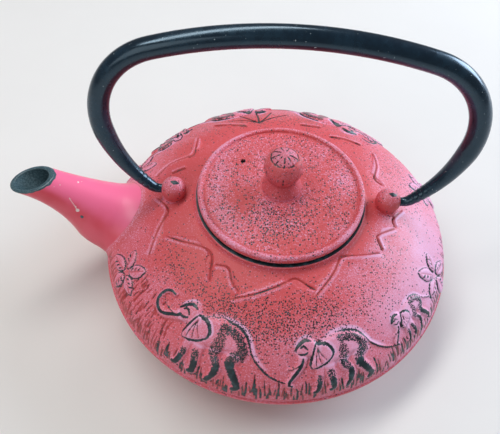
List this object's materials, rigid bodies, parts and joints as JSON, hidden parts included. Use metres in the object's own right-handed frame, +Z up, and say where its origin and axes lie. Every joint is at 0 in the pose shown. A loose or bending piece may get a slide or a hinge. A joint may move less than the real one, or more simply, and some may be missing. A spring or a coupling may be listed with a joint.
{
  "type": "teapot",
  "caption": "Low round cast iron teapot with a straight rising spout, a bail handle that swings on ball ears, a lift-off lid with a bud knob and a lift-out steel infuser.",
  "frame": {"origin": "middle of the flat base, on the pot's axis", "axes": "+Z up along the pot's axis, -X towards the spout, the bail pivots about a line parallel to X"},
  "size_m": [0.2398, 0.1922, 0.1595],
  "materials": {
    "painted_iron": "red paint over black iron, worn on the raised ornament",
    "black_enamel": "glossy black enamel",
    "stainless_steel": "brushed",
    "plated_steel": "dull plated"
  },
  "bodies": {
    "pot": {"pot_bowl": "painted_iron", "pot_shoulder": "painted_iron", "spout": "painted_iron"},
    "infuser": {"infuser_rim": "stainless_steel", "infuser_wall": "stainless_steel", "infuser_base": "stainless_steel", "infuser_base_ring": "stainless_steel"},
    "lid": {"lid": "painted_iron", "lid_knob": "painted_iron", "knob_screw": "plated_steel", "knob_washer": "plated_steel"},
    "bail": {"bail_tube": "black_enamel", "bail_end_left": "black_enamel", "bail_end_right": "black_enamel"}
  },
  "joints": [
    {"name": "bail_swing", "type": "hinge", "parent": "pot", "child": "bail", "pos_m": [0, 0, 0.069], "axis": [1, 0, 0], "range_deg": [-88, 109]},
    {"name": "infuser_lift", "type": "slide", "parent": "pot", "child": "infuser", "axis": [0, 0, 1], "range_m": [0, 0.048]},
    {"name": "lid_lift", "type": "slide", "parent": "infuser", "child": "lid", "axis": [0, 0, 1], "range_m": [0, 0.045]}
  ]
}
